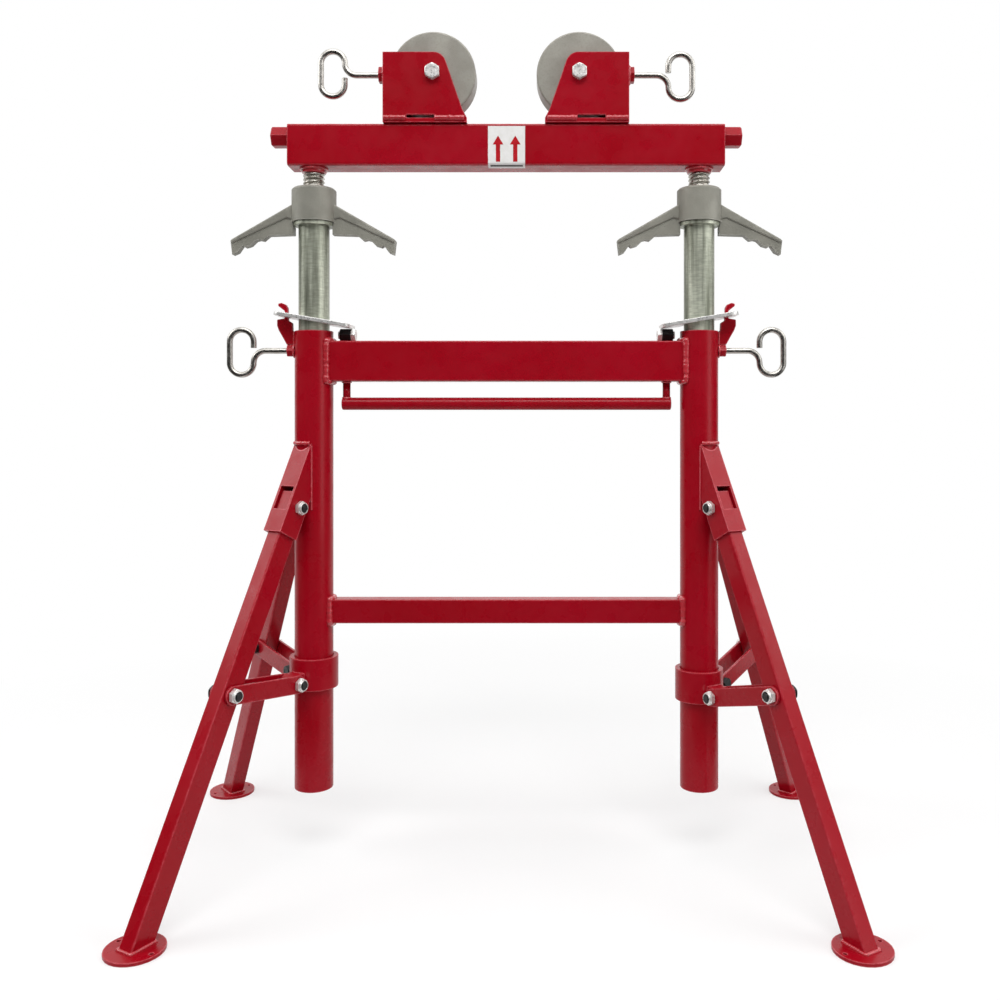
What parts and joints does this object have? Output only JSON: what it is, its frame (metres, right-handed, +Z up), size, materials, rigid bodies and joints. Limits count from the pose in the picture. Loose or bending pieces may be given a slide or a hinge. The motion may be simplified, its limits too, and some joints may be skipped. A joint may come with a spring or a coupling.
{
  "type": "pipe jack stand",
  "caption": "Height-adjustable pipe stand: posts on folding legs, screw-jacked beam with spreading rollers, loop-handled clamp screws and a carrying handle.",
  "frame": {"origin": "on the floor, in the middle of the stand's footprint with its legs open", "axes": "+Z up, +X to the right along the beam, +Y to the back; the front faces -Y"},
  "size_m": [1.112, 0.6285, 1.299],
  "materials": {
    "red_paint": "glossy powder coat",
    "zinc": "bright zinc plate",
    "galvanised": "streaky galvanising",
    "chrome": "polished",
    "cast_grey": "matte grey paint",
    "roller_grey": "dull turned steel"
  },
  "bodies": {
    "frame": {"post_left": "red_paint", "post_right": "red_paint", "upper_crossbar": "red_paint", "lower_crossbar": "red_paint", "carry_handle": "red_paint", "lock_hook_left": "red_paint", "clamp_nut_left": "red_paint", "stop_bolt_left": "zinc", "leg_bracket_front_left": "red_paint", "leg_pivot_bolt_front_left": "zinc", "leg_bracket_rear_left": "red_paint", "leg_pivot_bolt_rear_left": "zinc", "lock_hook_right": "red_paint", "clamp_nut_right": "red_paint", "stop_bolt_right": "zinc", "leg_bracket_front_right": "red_paint", "leg_pivot_bolt_front_right": "zinc", "leg_bracket_rear_right": "red_paint", "leg_pivot_bolt_rear_right": "zinc"},
    "inner_tubes": {"inner_tube_left": "galvanised", "inner_tube_right": "galvanised"},
    "wing_nut_left": {"wing_nut_left": "cast_grey"},
    "wing_nut_right": {"wing_nut_right": "cast_grey"},
    "head": {"beam": "red_paint", "beam_cap_left": "red_paint", "beam_cap_right": "red_paint", "jack_screw_left": "zinc", "jack_screw_right": "zinc"},
    "spreading_screw": {"spreading_screw": "red_paint"},
    "carrier_left": {"roller_bracket_left": "red_paint", "carrier_nut_left": "zinc", "axle_bolt_left": "zinc"},
    "roller_left": {"roller_left": "roller_grey"},
    "brake_screw_left": {"brake_screw_left": "chrome"},
    "clamp_screw_left": {"clamp_screw_left": "chrome"},
    "lock_plate_left": {"lock_plate_left": "zinc"},
    "collar_left": {"collar_left": "red_paint"},
    "leg_front_left": {"leg_front_left": "red_paint", "foot_front_left": "red_paint"},
    "strut_front_left": {"strut_front_left": "red_paint"},
    "leg_rear_left": {"leg_rear_left": "red_paint", "foot_rear_left": "red_paint"},
    "strut_rear_left": {"strut_rear_left": "red_paint"},
    "carrier_right": {"roller_bracket_right": "red_paint", "carrier_nut_right": "zinc", "axle_bolt_right": "zinc"},
    "roller_right": {"roller_right": "roller_grey"},
    "brake_screw_right": {"brake_screw_right": "chrome"},
    "clamp_screw_right": {"clamp_screw_right": "chrome"},
    "lock_plate_right": {"lock_plate_right": "zinc"},
    "collar_right": {"collar_right": "red_paint"},
    "leg_front_right": {"leg_front_right": "red_paint", "foot_front_right": "red_paint"},
    "strut_front_right": {"strut_front_right": "red_paint"},
    "leg_rear_right": {"leg_rear_right": "red_paint", "foot_rear_right": "red_paint"},
    "strut_rear_right": {"strut_rear_right": "red_paint"}
  },
  "joints": [
    {"name": "height_slide", "type": "slide", "parent": "frame", "child": "inner_tubes", "axis": [0, 0, 1], "range_m": [-0.06, 0.25]},
    {"name": "head_lift", "type": "slide", "parent": "inner_tubes", "child": "head", "axis": [0, 0, 1], "range_m": [-0.018, 0.138]},
    {"name": "wing_nut_left_turn", "type": "hinge", "parent": "inner_tubes", "child": "wing_nut_left", "pos_m": [-0.306, 0.01486, 1.002], "axis": [0, 0, 1], "range_deg": [-8280, 1080]},
    {"name": "wing_nut_right_turn", "type": "hinge", "parent": "inner_tubes", "child": "wing_nut_right", "pos_m": [0.306, 0.01486, 1.002], "axis": [0, 0, 1], "range_deg": [-8280, 1080]},
    {"name": "spreading_screw_turn", "type": "hinge", "parent": "head", "child": "spreading_screw", "pos_m": [0, 0.01486, 1.1377], "axis": [1, 0, 0], "range_deg": [-3150, 9900]},
    {"name": "carrier_left_slide", "type": "slide", "parent": "head", "child": "carrier_left", "axis": [-1, 0, 0], "range_m": [-0.035, 0.11]},
    {"name": "roller_left_spin", "type": "hinge", "parent": "carrier_left", "child": "roller_left", "pos_m": [-0.1148, 0.01486, 1.232], "axis": [0, 1, 0], "continuous": true},
    {"name": "brake_screw_left_turn", "type": "hinge", "parent": "carrier_left", "child": "brake_screw_left", "pos_m": [-0.2026, 0.01486, 1.2368], "axis": [-1, 0, 0], "range_deg": [0, 1080]},
    {"name": "clamp_screw_left_turn", "type": "hinge", "parent": "frame", "child": "clamp_screw_left", "pos_m": [-0.348, 0.01486, 0.799], "axis": [-1, 0, 0], "range_deg": [0, 1080]},
    {"name": "lock_plate_left_tilt", "type": "hinge", "parent": "frame", "child": "lock_plate_left", "pos_m": [-0.352, 0.01486, 0.8552], "axis": [0, -1, 0], "range_deg": [0, 9]},
    {"name": "carrier_right_slide", "type": "slide", "parent": "head", "child": "carrier_right", "axis": [1, 0, 0], "range_m": [-0.035, 0.11]},
    {"name": "roller_right_spin", "type": "hinge", "parent": "carrier_right", "child": "roller_right", "pos_m": [0.1148, 0.01486, 1.232], "axis": [0, 1, 0], "continuous": true},
    {"name": "brake_screw_right_turn", "type": "hinge", "parent": "carrier_right", "child": "brake_screw_right", "pos_m": [0.2026, 0.01486, 1.2368], "axis": [1, 0, 0], "range_deg": [0, 1080]},
    {"name": "clamp_screw_right_turn", "type": "hinge", "parent": "frame", "child": "clamp_screw_right", "pos_m": [0.348, 0.01486, 0.799], "axis": [1, 0, 0], "range_deg": [0, 1080]},
    {"name": "lock_plate_right_tilt", "type": "hinge", "parent": "frame", "child": "lock_plate_right", "pos_m": [0.352, 0.01486, 0.8552], "axis": [0, 1, 0], "range_deg": [0, 9]},
    {"name": "leg_front_left_fold", "type": "hinge", "parent": "frame", "child": "leg_front_left", "pos_m": [-0.3315, -0.0293, 0.554], "axis": [0.866, -0.5, 0], "range_deg": [0, 21.1]},
    {"name": "leg_rear_left_fold", "type": "hinge", "parent": "frame", "child": "leg_rear_left", "pos_m": [-0.33809, 0.0545, 0.554], "axis": [-0.7771, -0.6293, 0], "range_deg": [0, 21.1]},
    {"name": "collar_left_slide", "type": "slide", "parent": "frame", "child": "collar_left", "axis": [0, 0, -1], "range_m": [0, 0.14387]},
    {"name": "strut_front_left_turn", "type": "hinge", "parent": "collar_left", "child": "strut_front_left", "pos_m": [-0.3315, -0.0293, 0.282], "axis": [-0.866, 0.5, 0], "range_deg": [0, 70.28]},
    {"name": "strut_rear_left_turn", "type": "hinge", "parent": "collar_left", "child": "strut_rear_left", "pos_m": [-0.33809, 0.0545, 0.282], "axis": [0.7771, 0.6293, 0], "range_deg": [0, 70.28]},
    {"name": "leg_front_right_fold", "type": "hinge", "parent": "frame", "child": "leg_front_right", "pos_m": [0.3315, -0.0293, 0.554], "axis": [0.866, 0.5, 0], "range_deg": [0, 21.1]},
    {"name": "leg_rear_right_fold", "type": "hinge", "parent": "frame", "child": "leg_rear_right", "pos_m": [0.33809, 0.0545, 0.554], "axis": [-0.7771, 0.6293, 0], "range_deg": [0, 21.1]},
    {"name": "collar_right_slide", "type": "slide", "parent": "frame", "child": "collar_right", "axis": [0, 0, -1], "range_m": [0, 0.12771]},
    {"name": "strut_front_right_turn", "type": "hinge", "parent": "collar_right", "child": "strut_front_right", "pos_m": [0.3315, -0.0293, 0.262], "axis": [-0.866, -0.5, 0], "range_deg": [0, 62.25]},
    {"name": "strut_rear_right_turn", "type": "hinge", "parent": "collar_right", "child": "strut_rear_right", "pos_m": [0.33809, 0.0545, 0.262], "axis": [0.7771, -0.6293, 0], "range_deg": [0, 62.25]}
  ],
  "couplings": [
    {"joint": "wing_nut_left_turn", "follows": "head_lift", "rad_per_m": -1047.2},
    {"joint": "wing_nut_right_turn", "follows": "head_lift", "rad_per_m": -1047.2},
    {"joint": "spreading_screw_turn", "follows": "carrier_left_slide", "rad_per_m": 1570.8},
    {"joint": "carrier_right_slide", "follows": "carrier_left_slide", "ratio": 1},
    {"joint": "leg_rear_left_fold", "follows": "leg_front_left_fold", "ratio": 1},
    {"joint": "collar_left_slide", "follows": "leg_front_left_fold", "m_per_rad": 0.39066},
    {"joint": "strut_front_left_turn", "follows": "leg_front_left_fold", "ratio": 3.3307},
    {"joint": "strut_rear_left_turn", "follows": "leg_front_left_fold", "ratio": 3.3307},
    {"joint": "leg_rear_right_fold", "follows": "leg_front_right_fold", "ratio": 1},
    {"joint": "collar_right_slide", "follows": "leg_front_right_fold", "m_per_rad": 0.34677},
    {"joint": "strut_front_right_turn", "follows": "leg_front_right_fold", "ratio": 2.9502},
    {"joint": "strut_rear_right_turn", "follows": "leg_front_right_fold", "ratio": 2.9502}
  ]
}
